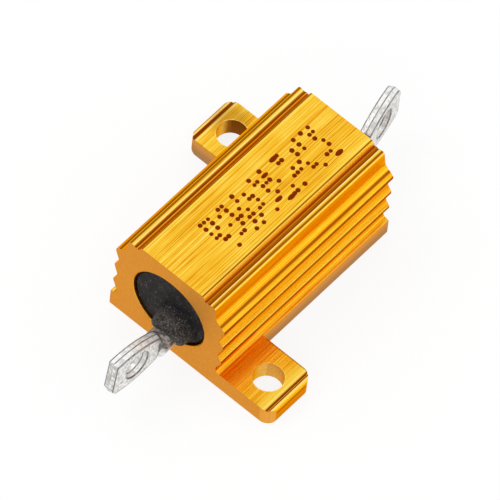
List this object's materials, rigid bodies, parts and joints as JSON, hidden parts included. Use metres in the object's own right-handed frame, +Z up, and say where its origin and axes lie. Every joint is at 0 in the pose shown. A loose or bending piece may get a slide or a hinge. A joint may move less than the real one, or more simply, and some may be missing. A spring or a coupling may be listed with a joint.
{
  "type": "aluminium housed power resistor",
  "caption": "Wirewound power resistor in a finned gold-anodised aluminium housing, with screw tabs on a diagonal and a flat solder lug with an eye at each end.",
  "frame": {"origin": "on the flat mounting face, midway between the two end faces and the two tab edges", "axes": "+X along the terminals, from the front one to the rear one; +Z up out of the mounting face; +Y towards the side where the rear tab is"},
  "size_m": [0.0339, 0.0208, 0.0102],
  "materials": {
    "anodised_aluminium": "gold anodised, brushed along the bar",
    "black_cement": "matt, gritty",
    "ceramic": "unglazed, smooth",
    "resistance_wire": "drawn, dull",
    "cap_steel": "plated, satin",
    "tinned_lead": "hot tinned, slightly dented"
  },
  "bodies": {
    "root": {"housing": "anodised_aluminium", "cement_filling": "black_cement", "ceramic_core": "ceramic", "resistance_winding": "resistance_wire", "front_end_cap": "cap_steel", "rear_end_cap": "cap_steel", "front_terminal": "tinned_lead", "rear_terminal": "tinned_lead"}
  },
  "joints": []
}
